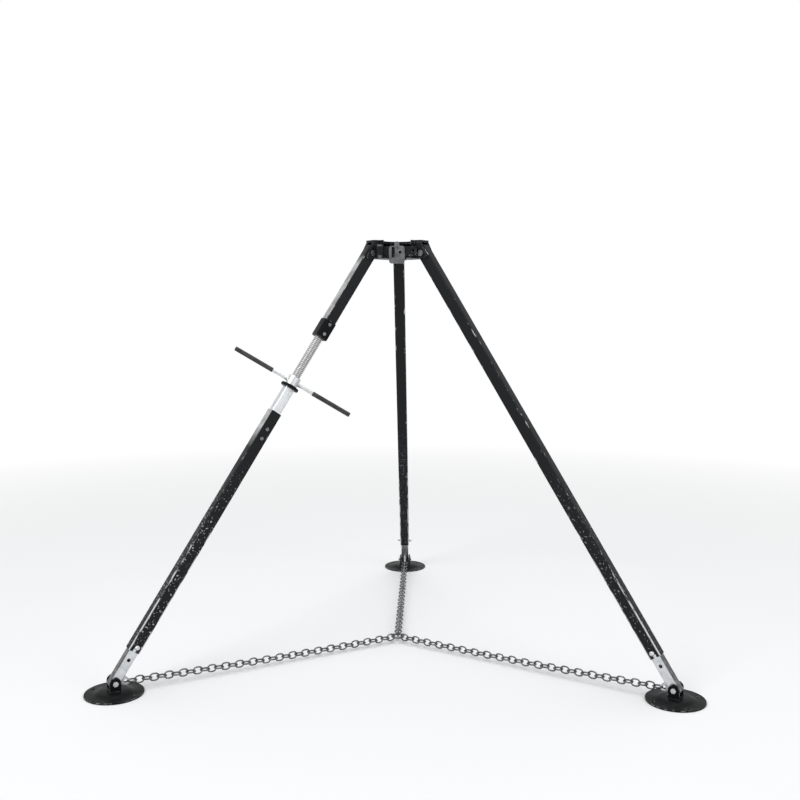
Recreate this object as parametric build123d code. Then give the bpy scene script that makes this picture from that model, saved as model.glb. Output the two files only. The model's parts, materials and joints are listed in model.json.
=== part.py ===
from build123d import *
import math
import os

# Free-standing tripod stand that steadies the coupling pin of a parked fifth wheel trailer.
# A steel head takes the pin in an open throat. Three square legs hang from the head on bolts,
# each with a telescoping foot section, a lock pin and a swivelling foot pad. The left leg is
# cut by a screw jack with a T handle. Chains join the feet to a ring under the middle.
# +Z is up, +X is right and +Y is back. The feet stand on Z = 0, and the origin is under the
# middle of the box around the stand, so the tripod's own axis stands a little forward of it.

# Stance
head_height = 1180.0
foot_radius = 832.0
hinge_radius = 91.0
hinge_drop = 37.0
foot_pin_height = 32.0
leg_azimuths = {"back": 90.0, "right": -30.0, "left": 210.0}

# Square leg tubes
outer_tube_width = 32.0
outer_tube_wall = 2.0
tube_slip_gap = 0.5
inner_tube_wall = 2.0
tube_corner_radius = 3.0
tube_bore_corner = 1.0
tube_past_hinge = 18.0
inner_tube_show = 90.0
inner_tube_length = 560.0
inner_tube_past_pin = 10.5

# Lock pins, which stand in the foot sections' holes. The outer tubes' notched ends rest on them
lock_pin_diameter = 9.5
lock_hole_gap = 0.3
lock_pin_from_end = 14.0
lock_hole_pitch = 38.1
lock_hole_count = 8
lock_pin_tail = 9.0
lock_knob_diameter = 13.0
lock_knob_length = 9.0
lock_knob_round = 4.0
lock_knob_gap = 0.5
lock_pin_point = 1.5

# Head
head_apothem = 67.4
head_wall = 6.0
top_plate_thickness = 6.0
jaw_plate_thickness = 8.0
head_depth = 51.0
throat_width = 76.0
jaw_width = 53.0
weld_gap = 0.2
weld_root_depth = 2.0
lug_thickness = 6.0
lug_side_gap = 0.6
lug_top_reach = -2.0
lug_reach = 17.0
lug_height = 45.0
lug_tip_height = 6.0
lug_corner_radius = 2.5

# Bolts
hinge_bolt_diameter = 10.0
foot_bolt_diameter = 8.0
bolt_hole_gap = 0.25
bolt_head_ratio = 1.6
bolt_head_height_ratio = 0.62
bolt_past_nut = 2.0
nut_thread_gap = 0.05

# Throat gate, with distances measured from the middle of the head and down from its top
gate_width = 44.0
gate_thickness = 5.0
gate_front_gap = 0.4
gate_bar_thickness = 5.0
gate_bar_height = 24.0
gate_bar_end = 54.0
gate_bar_corner = 5.0
gate_shoulder_drop = 17.0
gate_corner_radius = 8.0
gate_foot_drop = 66.0
gate_tongue_width = 14.0
gate_tongue_top = 5.0
gate_slot_width = 9.0
gate_slot_length = 30.0
gate_slot_offset = 10.0
gate_hole_drop = 35.0
padlock_hole_diameter = 8.0
padlock_hole_offset = 46.0
strap_hole_offset = 9.0
gate_bolt_diameter = 9.0
gate_bolt_offset = 47.0
gate_bolt_reach = 10.0
gate_neck_length = 11.0
gate_lug_radius = 9.5
gate_lug_thickness = 5.0
gate_lug_gap = 0.5
gate_tab_reach = 55.0

# Screw jack in the left leg, with distances measured down the leg from its hinge bolt
nut_collar_start = 228.0
nut_collar_length = 54.0
nut_collar_width = 37.0
upper_tube_insert = 27.0
nut_collar_fit = 0.05
screw_diameter = 25.4
screw_start = 112.0
screw_running_gap = 0.3
screw_chamfer = 2.0
hub_start = 410.0
hub_diameter = 35.0
hub_length = 27.0
hub_socket_depth = 6.0
hub_chamfer = 1.5
thrust_ring_diameter = 52.0
thrust_ring_thickness = 8.0
thrust_ring_edge = 2.0
spigot_diameter = 16.0
sleeve_cap_thickness = 6.0
sleeve_show = 76.0
sleeve_insert = 100.0
sleeve_wall = 2.0
sleeve_bolt_first = 53.0
sleeve_bolt_pitch = 29.0
sleeve_bolt_diameter = 6.0
sleeve_bolt_gap = 0.1
retainer_diameter = 22.0
retainer_thickness = 6.0
handle_diameter = 9.5
handle_length = 356.0
handle_angle = -22.7
handle_from_hub_end = 12.0
grip_diameter = 12.5
grip_length = 118.0
grip_end_wall = 3.0
grip_end_round = 2.5
collar_screw_head = 9.6
collar_screw_height = 3.0
collar_screw_places = (10.8, 40.5)

# Foot pads
pad_radius = 76.0
pad_thickness = 4.0
pad_rise = 6.0
pad_flat_radius = 36.0
pad_rim_radius = 52.0
pad_press_shift = 1.0
pad_hole_diameter = 8.0
pad_hole_radius = 63.0
pad_hole_count = 4
pad_hole_turn = 45.0
clevis_thickness = 4.0
clevis_width = 30.0
clevis_side_gap = 1.0
clevis_base_gap = 0.2

# Chain
chain_eye_thickness = 5.0
chain_eye_radius = 10.0
chain_eye_hole = 12.0
chain_eye_reach = 14.0
chain_eye_from_pin = 14.0
chain_eye_root = 24.0
chain_eye_gap = 0.05
chain_wire = 4.5
chain_link_width = 23.0
chain_link_corner = 5.75
chain_link_end = 9.25
chain_pitch_aim = 20.0
chain_slack = 0.3
chain_sag = 5.0
ring_height = 17.0
ring_radius = 17.0
ring_wire = 6.0

# Sizes that follow from the ones above
hinge_height = head_height - hinge_drop
leg_run = foot_radius - hinge_radius
leg_fall = hinge_height - foot_pin_height
leg_length = math.hypot(leg_run, leg_fall)
leg_tilt = math.degrees(math.atan2(leg_run, leg_fall))
axis_y = -foot_radius / 4
outer_tube_end = leg_length - inner_tube_show
inner_tube_width = outer_tube_width - 2 * outer_tube_wall - 2 * tube_slip_gap
inner_tube_end = leg_length + inner_tube_past_pin
lock_pin_place = outer_tube_end - lock_pin_from_end
thrust_ring_start = hub_start + hub_length + screw_running_gap
sleeve_start = thrust_ring_start + thrust_ring_thickness
lower_tube_start = sleeve_start + sleeve_show
sleeve_end = lower_tube_start + sleeve_insert
handle_place = hub_start + hub_length - handle_from_hub_end
jaw_top = head_depth - jaw_plate_thickness
gate_bar_drop = jaw_top - gate_bar_height / 2
gate_bar_back = head_apothem + gate_front_gap
strap_back = gate_bar_back + gate_bar_thickness
gate_bolt_y = head_apothem + gate_bolt_reach
gate_eye_height = gate_bar_height - 2 * (gate_lug_thickness + gate_lug_gap)
lug_inner = outer_tube_width / 2 + lug_side_gap
lug_outer = lug_inner + lug_thickness


def place_leg(shape, azimuth):
    """Turns a part drawn along its own leg (-Z down the leg, +X its upper face) into place."""
    on_head = Pos(hinge_radius, 0, hinge_height) * Rot(0, -leg_tilt, 0)
    return Pos(0, axis_y, 0) * Rot(0, 0, azimuth) * on_head * shape


def place_plan(shape, azimuth):
    """Turns a part drawn in the leg's upright plane, from the tripod's axis outwards."""
    return Pos(0, axis_y, 0) * Rot(0, 0, azimuth) * shape


def square_tube(width, wall, start, end):
    """A square tube with rounded corners, from start to end down the leg."""
    outside = RectangleRounded(width, width, tube_corner_radius)
    bore = width - 2 * wall
    inside = RectangleRounded(bore, bore, tube_bore_corner)
    return Pos(0, 0, -end) * extrude(outside - inside, end - start)


def cross_rod(diameter, place, length):
    """A rod through the leg's side faces at a distance down the leg."""
    return Pos(0, 0, -place) * Rot(90, 0, 0) * Cylinder(diameter / 2, length)


def hexagon_prism(width, height):
    """A hexagon measured across its flats, centred on the origin."""
    return extrude(RegularPolygon(width / 2, 6, major_radius=False), height / 2, both=True)


def cross_bolt(diameter, grip):
    """A bolt lying along Y: its head beyond -Y, and its tail long enough for a nut."""
    thickness = diameter * bolt_head_height_ratio
    tail = thickness + bolt_past_nut
    shank = Pos(0, tail / 2, 0) * Rot(90, 0, 0) * Cylinder(diameter / 2, grip + tail)
    head = Rot(90, 0, 0) * hexagon_prism(diameter * bolt_head_ratio, thickness)
    return shank + Pos(0, -grip / 2 - thickness / 2, 0) * head


def cross_nut(diameter, grip):
    """The nut on the tail of cross_bolt, bored to clear its shank."""
    height = diameter * bolt_head_height_ratio
    nut = Rot(90, 0, 0) * hexagon_prism(diameter * bolt_head_ratio, height)
    bore = Rot(90, 0, 0) * Cylinder(diameter / 2 + nut_thread_gap, 2 * height)
    return Pos(0, grip / 2 + height / 2, 0) * (nut - bore)


def head_hexagon(apothem):
    """The head's plan: one flat faces each leg and one faces the front."""
    return RegularPolygon(apothem, 6, major_radius=False)


def throat(width, height):
    """The open slot that the trailer's pin enters from the front, full round at the back."""
    plan = Circle(width / 2) + Pos(0, -head_apothem, 0) * Rectangle(width, 2 * head_apothem)
    return extrude(plan, height, both=True)


def at_head(shape, drop):
    """Moves a part drawn on the tripod's axis to a distance below the head's top."""
    return Pos(0, axis_y, head_height - drop) * shape


def make_top_plate():
    plan = head_hexagon(head_apothem)
    for azimuth in leg_azimuths.values():
        reach = hinge_radius + lug_top_reach
        plan += Rot(0, 0, azimuth) * Pos(reach / 2, 0) * Rectangle(reach, 2 * lug_outer)
    plate = extrude(plan, -top_plate_thickness)
    return at_head(plate - throat(throat_width, 3 * top_plate_thickness), 0)


def make_head_wall():
    """The six-sided wall, with a tab each side of the throat: one for a padlock, one for lugs."""
    ring = head_hexagon(head_apothem) - head_hexagon(head_apothem - head_wall)
    front = Pos(0, -head_apothem, 0) * Rectangle(throat_width, head_apothem)
    height = jaw_top - top_plate_thickness
    wall = extrude(ring - front, -height)
    tab_width = gate_tab_reach - throat_width / 2
    for side in (-1, 1):
        middle = side * (gate_tab_reach - tab_width / 2)
        tab = Pos(middle, 0) * Rectangle(tab_width, gate_bar_height)
        if side > 0:
            tab -= Pos(padlock_hole_offset, 0) * Circle(padlock_hole_diameter / 2)
        tab = Rot(90, 0, 0) * extrude(tab, -head_wall)
        wall += Pos(0, -head_apothem, top_plate_thickness - gate_bar_drop) * tab
    return at_head(wall, top_plate_thickness)


def make_jaw_plate():
    plate = extrude(head_hexagon(head_apothem), -jaw_plate_thickness)
    return at_head(plate - throat(jaw_width, 3 * jaw_plate_thickness), jaw_top)


def make_lugs(azimuth):
    """The two ears that carry one leg's hinge bolt, welded under the top plate's arm. Their
    outer edge leans out like the leg."""
    inner_end = head_apothem + weld_gap
    outer_end = hinge_radius + lug_reach
    corners = [
        (inner_end, 0),
        (hinge_radius + lug_top_reach, 0),
        (outer_end, lug_tip_height - lug_height),
        (outer_end, -lug_height),
        (inner_end, -lug_height),
    ]
    outline = make_face(Polyline(*corners, close=True))
    outline = fillet(outline.vertices().sort_by(Axis.X)[-2:], lug_corner_radius)
    ears = []
    for side in (-1, 1):
        ear = extrude(outline, lug_thickness / 2, both=True)
        ear = Rot(90, 0, 0) * ear
        bore = Pos(hinge_radius, 0, top_plate_thickness - hinge_drop) * Rot(90, 0, 0)
        ear -= bore * Cylinder(hinge_bolt_diameter / 2 + bolt_hole_gap, 4 * lug_thickness)
        ears.append(Pos(0, side * (lug_inner + lug_thickness / 2), 0) * ear)
    both = Compound(children=[ear.solid() for ear in ears])
    return Pos(0, axis_y, head_height - top_plate_thickness) * Rot(0, 0, azimuth) * both


def on_every_hinge(shape):
    """Copies a fastener to the three leg hinges."""
    copies = []
    for azimuth in leg_azimuths.values():
        moved = Pos(0, axis_y, hinge_height) * Rot(0, 0, azimuth) * Pos(hinge_radius, 0, 0) * shape
        copies.append(moved.solid())
    return Compound(children=copies)


def at_gate_bolt(shape):
    """Moves a part drawn about the gate's upright bolt to that bolt's place, level with the bar."""
    place = Pos(-gate_bolt_offset, axis_y - gate_bolt_y, head_height - gate_bar_drop)
    return place * shape


def make_gate_strap():
    """The strap on the front of the gate's bar, which fills the throat from top to bottom."""
    body_height = gate_foot_drop - gate_shoulder_drop
    body = Pos(0, -gate_shoulder_drop - body_height / 2) * Rectangle(gate_width, body_height)
    body = fillet(body.vertices(), gate_corner_radius)
    tongue_radius = gate_tongue_width / 2
    tongue_height = gate_foot_drop - gate_tongue_top - tongue_radius
    tongue = Pos(0, tongue_height / 2 - gate_foot_drop) * Rectangle(gate_tongue_width, tongue_height)
    tongue += Pos(0, -gate_tongue_top - tongue_radius) * Circle(tongue_radius)
    slot = Pos(-gate_slot_offset, -gate_hole_drop) * Rot(0, 0, 90)
    plan = body + tongue - slot * SlotOverall(gate_slot_length, gate_slot_width)
    plan -= Pos(strap_hole_offset, -gate_hole_drop) * Circle(padlock_hole_diameter / 2)
    strap = Rot(90, 0, 0) * extrude(plan, gate_thickness)
    return Pos(0, axis_y - strap_back, head_height) * strap


def make_gate_bar():
    """The bar across the throat: a rolled eye on the bolt at its left, a padlock hole at right."""
    full_start = gate_neck_length - gate_bolt_offset
    length = gate_bar_end - full_start
    plan = Pos(full_start + length / 2, 0) * RectangleRounded(length, gate_bar_height, gate_bar_corner)
    neck = Rectangle(2 * gate_neck_length, gate_eye_height)
    plan += Pos(full_start, 0) * neck
    plan -= Pos(padlock_hole_offset, 0) * Circle(padlock_hole_diameter / 2)
    bar = Rot(90, 0, 0) * extrude(plan, gate_bar_thickness)
    bar = Pos(gate_bolt_offset, gate_bolt_y - gate_bar_back, 0) * bar
    bore_radius = gate_bolt_diameter / 2 + bolt_hole_gap
    eye_radius = gate_bolt_y - gate_bar_back - gate_front_gap
    bar += Cylinder(eye_radius, gate_eye_height)
    return at_gate_bolt(bar - Cylinder(bore_radius, 2 * gate_bar_height))


def make_gate_lugs():
    """Two ears on the head's left tab that carry the gate's bolt."""
    root_width = gate_tab_reach - throat_width / 2 - bolt_past_nut
    root_middle = gate_bolt_offset - gate_tab_reach + root_width / 2
    root_place = Pos(root_middle, gate_bolt_reach - weld_gap - weld_root_depth / 2)
    root = root_place * Rectangle(root_width, weld_root_depth)
    outline = make_hull((root + Circle(gate_lug_radius)).edges())
    outline -= Circle(gate_bolt_diameter / 2 + bolt_hole_gap)
    ears = []
    for side in (-1, 1):
        height = side * (gate_bar_height - gate_lug_thickness) / 2
        ear = extrude(outline, gate_lug_thickness / 2, both=True)
        ears.append(at_gate_bolt(Pos(0, 0, height) * ear).solid())
    return Compound(children=ears)


def make_gate_bolt():
    return at_gate_bolt(Rot(-90, 0, 0) * cross_bolt(gate_bolt_diameter, gate_bar_height))


def make_gate_nut():
    return at_gate_bolt(Rot(-90, 0, 0) * cross_nut(gate_bolt_diameter, gate_bar_height))


def hinge_bore():
    return cross_rod(hinge_bolt_diameter + 2 * bolt_hole_gap, 0, 2 * outer_tube_width)


def lock_bore(place, width):
    return cross_rod(lock_pin_diameter + 2 * lock_hole_gap, place, width)


def make_outer_tube(start):
    """The black tube of a leg. Its end is notched in both sides, and rests on the lock pin."""
    tube = square_tube(outer_tube_width, outer_tube_wall, start, outer_tube_end)
    notch_width = lock_pin_diameter + 2 * lock_hole_gap
    notch = Pos(0, 0, -outer_tube_end) * Box(notch_width, 2 * outer_tube_width, 2 * lock_pin_from_end)
    return tube - notch - lock_bore(lock_pin_place, 2 * outer_tube_width)


def make_inner_tube():
    """The plated foot section, with a row of holes for the lock pin."""
    start = inner_tube_end - inner_tube_length
    tube = square_tube(inner_tube_width, inner_tube_wall, start, inner_tube_end)
    for step in range(-1, lock_hole_count - 1):
        place = lock_pin_place - step * lock_hole_pitch
        tube -= lock_bore(place, 2 * outer_tube_width)
    foot_hole = foot_bolt_diameter + 2 * bolt_hole_gap
    return tube - cross_rod(foot_hole, leg_length, 2 * outer_tube_width)


def make_lock_pin(side):
    """A pull pin with a domed knob, through both tubes. side is the face its knob is on."""
    tail = outer_tube_width / 2 + lock_pin_tail
    knob_start = outer_tube_width / 2 + lock_knob_gap
    top = knob_start + lock_knob_length
    shank = Pos(0, 0, (knob_start - tail) / 2)
    pin = shank * Cylinder(lock_pin_diameter / 2, knob_start + tail)
    pin = chamfer(pin.edges().sort_by(Axis.Z)[0], lock_pin_point)
    knob = Cylinder(lock_knob_diameter / 2, lock_knob_length)
    knob = fillet(knob.edges().sort_by(Axis.Z)[-1], lock_knob_round)
    pin += Pos(0, 0, top - lock_knob_length / 2) * knob
    return Pos(0, 0, -lock_pin_place) * Rot(-90 * side, 0, 0) * pin


def make_upper_tube():
    """The short tube of the jack leg, from the head to the screw's nut."""
    end = nut_collar_start + upper_tube_insert
    tube = square_tube(outer_tube_width, outer_tube_wall, -tube_past_hinge, end)
    return tube - hinge_bore()


def make_nut_collar():
    """The square collar round the upper tube's end, closed below by the screw's nut."""
    end = nut_collar_start + nut_collar_length
    corner = tube_corner_radius + (nut_collar_width - outer_tube_width) / 2
    blank = RectangleRounded(nut_collar_width, nut_collar_width, corner)
    collar = Pos(0, 0, -end) * extrude(blank, nut_collar_length)
    pocket_width = outer_tube_width + 2 * nut_collar_fit
    pocket = Pos(0, 0, -nut_collar_start - upper_tube_insert)
    pocket = pocket * extrude(Rectangle(pocket_width, pocket_width), nut_collar_length)
    bore_radius = screw_diameter / 2 + screw_running_gap
    bore = Pos(0, 0, -end) * Cylinder(bore_radius, 2 * nut_collar_length)
    collar = chamfer(collar.faces().sort_by(Axis.Z)[0].edges(), screw_chamfer)
    return collar - pocket - bore


def make_collar_screws():
    """Two small cap screws that hold the nut collar on the tube."""
    screws = []
    for place in collar_screw_places:
        head = cross_rod(collar_screw_head, nut_collar_start + place, collar_screw_height)
        head = Pos(0, (nut_collar_width + collar_screw_height) / 2, 0) * head
        screws.append(head.solid())
    return Compound(children=screws)


def make_jack_screw():
    end = hub_start + hub_socket_depth
    screw = Pos(0, 0, -(screw_start + end) / 2) * Cylinder(screw_diameter / 2, end - screw_start)
    return chamfer(screw.edges().sort_by(Axis.Z)[-1], screw_chamfer)


def make_handle_hub():
    """The boss at the screw's foot: a socket above, the handle's bore, and a spigot below."""
    boss = Pos(0, 0, -hub_start - hub_length / 2) * Cylinder(hub_diameter / 2, hub_length)
    ends = boss.edges().group_by(Axis.Z)[0] + boss.edges().group_by(Axis.Z)[-1]
    boss = chamfer(ends, hub_chamfer)
    spigot_end = sleeve_start + sleeve_cap_thickness + screw_running_gap + retainer_thickness
    spigot_length = spigot_end - hub_start - hub_length
    spigot = Pos(0, 0, -spigot_end + spigot_length / 2)
    boss += spigot * Cylinder(spigot_diameter / 2, spigot_length)
    boss -= Pos(0, 0, -hub_start) * Cylinder(screw_diameter / 2, 2 * hub_socket_depth)
    return boss - handle_rod(handle_diameter / 2 + bolt_hole_gap, 2 * hub_diameter)


def handle_rod(radius, length):
    rod = Rot(0, 90, 0) * Cylinder(radius, length)
    return Pos(0, 0, -handle_place) * Rot(0, 0, handle_angle) * rod


def make_handle_bar():
    return handle_rod(handle_diameter / 2, handle_length)


def make_handle_caps():
    """A long dipped grip on each end of the handle, which stops it in the hub."""
    outer_end = handle_length / 2 + grip_end_wall
    caps = []
    for side in (-1, 1):
        grip = Rot(0, 90, 0) * Cylinder(grip_diameter / 2, grip_length)
        rims = grip.edges().filter_by(GeomType.CIRCLE).sort_by(Axis.X)
        grip = fillet(rims[-1 if side > 0 else 0], grip_end_round)
        grip = Pos(side * (outer_end - grip_length / 2), 0, 0) * grip
        grip -= Rot(0, 90, 0) * Cylinder(handle_diameter / 2, handle_length)
        turn = Pos(0, 0, -handle_place) * Rot(0, 0, handle_angle)
        caps.append((turn * grip).solid())
    return Compound(children=caps)


def ring_plate(outer_radius, inner_radius, start, thickness):
    ring = extrude(Circle(outer_radius) - Circle(inner_radius), thickness)
    return Pos(0, 0, -start - thickness) * ring


def make_thrust_ring():
    ring = ring_plate(
        thrust_ring_diameter / 2,
        spigot_diameter / 2 + screw_running_gap,
        thrust_ring_start,
        thrust_ring_thickness,
    )
    outside = ring.edges().filter_by(GeomType.CIRCLE).sort_by(SortBy.RADIUS)[-2:]
    return fillet(outside, thrust_ring_edge)


def make_jack_sleeve():
    """The plated square sleeve below the thrust ring, with its cap plate welded in."""
    tube = square_tube(inner_tube_width, sleeve_wall, sleeve_start, sleeve_end)
    cap = RectangleRounded(inner_tube_width, inner_tube_width, tube_corner_radius)
    cap -= Circle(spigot_diameter / 2 + screw_running_gap)
    cap_place = Pos(0, 0, -sleeve_start - sleeve_cap_thickness)
    sleeve = tube + cap_place * extrude(cap, sleeve_cap_thickness)
    for place in sleeve_bolt_places():
        sleeve -= cross_rod(sleeve_bolt_diameter + 2 * sleeve_bolt_gap, place, 2 * outer_tube_width)
    return sleeve


def sleeve_bolt_places():
    first = lower_tube_start + sleeve_bolt_first
    return (first, first + sleeve_bolt_pitch)


def make_sleeve_bolts():
    bolts = []
    for place in sleeve_bolt_places():
        bolt = cross_bolt(sleeve_bolt_diameter, outer_tube_width)
        bolts.append((Pos(0, 0, -place) * Rot(0, 0, 180) * bolt).solid())
    return Compound(children=bolts)


def make_screw_retainer():
    """The ring on the spigot's end, inside the sleeve, which keeps the screw in the sleeve."""
    start = sleeve_start + sleeve_cap_thickness + screw_running_gap
    return ring_plate(retainer_diameter / 2, spigot_diameter / 2, start, retainer_thickness)


def make_jack_lower_tube():
    tube = make_outer_tube(lower_tube_start)
    for place in sleeve_bolt_places():
        tube -= cross_rod(sleeve_bolt_diameter + 2 * sleeve_bolt_gap, place, 2 * outer_tube_width)
    return tube


def make_foot_pad():
    """The pressed foot plate: a flat rim, a cone and a raised flat middle."""
    profile = Polyline(
        (0, pad_rise),
        (pad_flat_radius, pad_rise),
        (pad_rim_radius, 0),
        (pad_radius, 0),
        (pad_radius, pad_thickness),
        (pad_rim_radius + pad_press_shift, pad_thickness),
        (pad_flat_radius + pad_press_shift, pad_rise + pad_thickness),
        (0, pad_rise + pad_thickness),
        close=True,
    )
    pad = revolve(make_face(Plane.XZ * profile), Axis.Z)
    for step in range(pad_hole_count):
        turn = Rot(0, 0, pad_hole_turn + step * 360 / pad_hole_count)
        pad -= turn * Pos(pad_hole_radius, 0, 0) * Cylinder(pad_hole_diameter / 2, pad_radius)
    return Pos(foot_radius, 0, 0) * pad


def make_clevis():
    """The bent bracket on the pad whose two ears take the foot bolt."""
    bottom = pad_rise + pad_thickness + clevis_base_gap
    inner = inner_tube_width / 2 + clevis_side_gap
    outer = inner + clevis_thickness
    height = foot_pin_height - bottom
    ear_plan = Pos(0, height / 2) * Rectangle(clevis_width, height)
    ear_plan += Pos(0, height) * Circle(clevis_width / 2)
    block = Rot(90, 0, 0) * extrude(ear_plan, outer, both=True)
    gap_height = 2 * foot_pin_height
    gap = Pos(0, 0, clevis_thickness + gap_height / 2) * Box(2 * clevis_width, 2 * inner, gap_height)
    bore_radius = foot_bolt_diameter / 2 + bolt_hole_gap
    bore = Pos(0, 0, height) * Rot(90, 0, 0) * Cylinder(bore_radius, 4 * outer)
    return Pos(foot_radius, 0, bottom) * (block - gap - bore)


def foot_grip():
    return inner_tube_width + 2 * (clevis_side_gap + clevis_thickness)


def make_foot_bolt():
    return Pos(foot_radius, 0, foot_pin_height) * cross_bolt(foot_bolt_diameter, foot_grip())


def make_foot_nut():
    return Pos(foot_radius, 0, foot_pin_height) * cross_nut(foot_bolt_diameter, foot_grip())


def make_chain_eye():
    """The eye plate on the lower face of the foot section."""
    face = inner_tube_width / 2 + chain_eye_gap
    root = Pos(-face - weld_root_depth / 2, 0) * Rectangle(weld_root_depth, chain_eye_root)
    tip = Pos(-face - chain_eye_reach, 0)
    outline = make_hull((root + tip * Circle(chain_eye_radius)).edges())
    outline -= tip * Circle(chain_eye_hole / 2)
    plate = Rot(90, 0, 0) * extrude(outline, chain_eye_thickness / 2, both=True)
    return Pos(0, 0, -leg_length + chain_eye_from_pin) * plate


def chain_eye_centre():
    """The eye hole's centre in the leg's upright plane: distance out and height."""
    across = inner_tube_width / 2 + chain_eye_gap + chain_eye_reach
    along = leg_length - chain_eye_from_pin
    tilt = math.radians(leg_tilt)
    out = hinge_radius + along * math.sin(tilt) - across * math.cos(tilt)
    height = hinge_height - along * math.cos(tilt) - across * math.sin(tilt)
    return out, height


def closed_solid(points, quads):
    """A solid with flat four-sided faces."""
    faces = [Face(Wire.make_polygon([points[i] for i in quad], close=True)) for quad in quads]
    return Solid(Shell(faces))


def make_link(inner_length):
    """One chain link: a rounded loop with four-sided wire, standing on its wire's corners."""
    half_wire = chain_wire / 2
    half_long = inner_length / 2 + half_wire
    half_wide = chain_link_width / 2 - half_wire
    straight = half_long - chain_link_corner
    turn = chain_link_end / 2
    corners = [
        (straight, -half_wide),
        (half_long, -turn),
        (half_long, turn),
        (straight, half_wide),
    ]
    corners += [(-x, -y) for x, y in corners]
    count = len(corners)
    points = []
    for i in range(count):
        here = Vector(*corners[i])
        before = (here - Vector(*corners[i - 1])).normalized()
        after = (Vector(*corners[(i + 1) % count]) - here).normalized()
        outward = Vector(before.Y + after.Y, -before.X - after.X).normalized()
        stretch = 1 / math.cos(math.radians(before.get_angle(after)) / 2)
        points.append(here + outward * half_wire * stretch)
        points.append(here + Vector(0, 0, half_wire))
        points.append(here - outward * half_wire * stretch)
        points.append(here - Vector(0, 0, half_wire))
    quads = []
    for i in range(count):
        a = 4 * i
        b = 4 * ((i + 1) % count)
        for k in range(4):
            n = (k + 1) % 4
            quads.append((a + k, b + k, b + n, a + n))
    return closed_solid(points, quads)


def make_chain(azimuth):
    """The links from a foot's eye to the middle ring, each turned a quarter from the last."""
    out, height = chain_eye_centre()
    rise = height - ring_height
    span = math.hypot(out, rise)
    eye_play = chain_eye_hole / 2 - chain_slack
    ring_play = ring_radius - ring_wire / 2 - chain_slack
    room = span - eye_play - ring_play - chain_slack
    pairs = round(room / (2 * chain_pitch_aim))
    count = 2 * pairs
    pitch = room / count
    link = make_link(pitch + chain_slack)
    links = []
    for i in range(count):
        along = ring_play + (pitch + chain_slack) / 2 + i * pitch
        share = along / span
        sag = 4 * chain_sag * share * (1 - share)
        slope = rise / span - 4 * chain_sag * (1 - 2 * share) / span
        x = out * share
        z = ring_height + rise * share - sag
        lean = -math.degrees(math.atan(slope))
        roll = 90 if i % 2 == 0 else 0
        links.append((Pos(x, 0, z) * Rot(0, lean, 0) * Rot(roll, 0, 0) * link).solid())
    return Compound(children=[place_plan(one, azimuth) for one in links])


def make_ring():
    """The welded ring in the middle that gathers the three chains."""
    return Pos(0, axis_y, ring_height) * Torus(ring_radius, ring_wire / 2)


def save(shape, name):
    export_step(shape, os.path.join("parts", name + ".step"))


def save_foot(side):
    azimuth = leg_azimuths[side]
    save(place_plan(make_foot_pad(), azimuth), side + "_foot_pad")
    save(place_plan(make_clevis(), azimuth), side + "_foot_clevis")
    save(place_plan(make_foot_bolt(), azimuth), side + "_foot_bolt")
    save(place_plan(make_foot_nut(), azimuth), side + "_foot_nut")
    save(place_leg(make_inner_tube(), azimuth), side + "_foot_tube")
    save(place_leg(make_chain_eye(), azimuth), side + "_chain_eye")
    knob_side = 1 if side == "left" else -1
    save(place_leg(make_lock_pin(knob_side), azimuth), side + "_lock_pin")
    save(make_chain(azimuth), side + "_chain")


def save_head():
    save(make_top_plate(), "head_top_plate")
    save(make_head_wall(), "head_wall")
    save(make_jaw_plate(), "head_jaw_plate")
    for side, azimuth in leg_azimuths.items():
        save(make_lugs(azimuth), side + "_leg_lugs")
    grip = 2 * lug_outer
    save(on_every_hinge(cross_bolt(hinge_bolt_diameter, grip)), "hinge_bolts")
    save(on_every_hinge(cross_nut(hinge_bolt_diameter, grip)), "hinge_nuts")
    save(make_gate_strap(), "gate_strap")
    save(make_gate_bar(), "gate_bar")
    save(make_gate_lugs(), "gate_lugs")
    save(make_gate_bolt(), "gate_bolt")
    save(make_gate_nut(), "gate_nut")


def save_jack():
    azimuth = leg_azimuths["left"]
    pieces = {
        "left_upper_tube": make_upper_tube(),
        "nut_collar": make_nut_collar(),
        "collar_screws": make_collar_screws(),
        "jack_screw": make_jack_screw(),
        "handle_hub": make_handle_hub(),
        "handle_bar": make_handle_bar(),
        "handle_caps": make_handle_caps(),
        "thrust_ring": make_thrust_ring(),
        "jack_sleeve": make_jack_sleeve(),
        "sleeve_bolts": make_sleeve_bolts(),
        "screw_retainer": make_screw_retainer(),
        "left_lower_tube": make_jack_lower_tube(),
    }
    for name, shape in pieces.items():
        save(place_leg(shape, azimuth), name)


def main():
    os.makedirs("parts", exist_ok=True)
    save_head()
    save_jack()
    for side in leg_azimuths:
        save_foot(side)
    for side in ("back", "right"):
        tube = make_outer_tube(-tube_past_hinge) - hinge_bore()
        save(place_leg(tube, leg_azimuths[side]), side + "_leg_tube")
    save(make_ring(), "chain_ring")


main()
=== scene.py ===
import json
import math

import bpy
import numpy as np
from mathutils import Matrix, Vector


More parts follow.
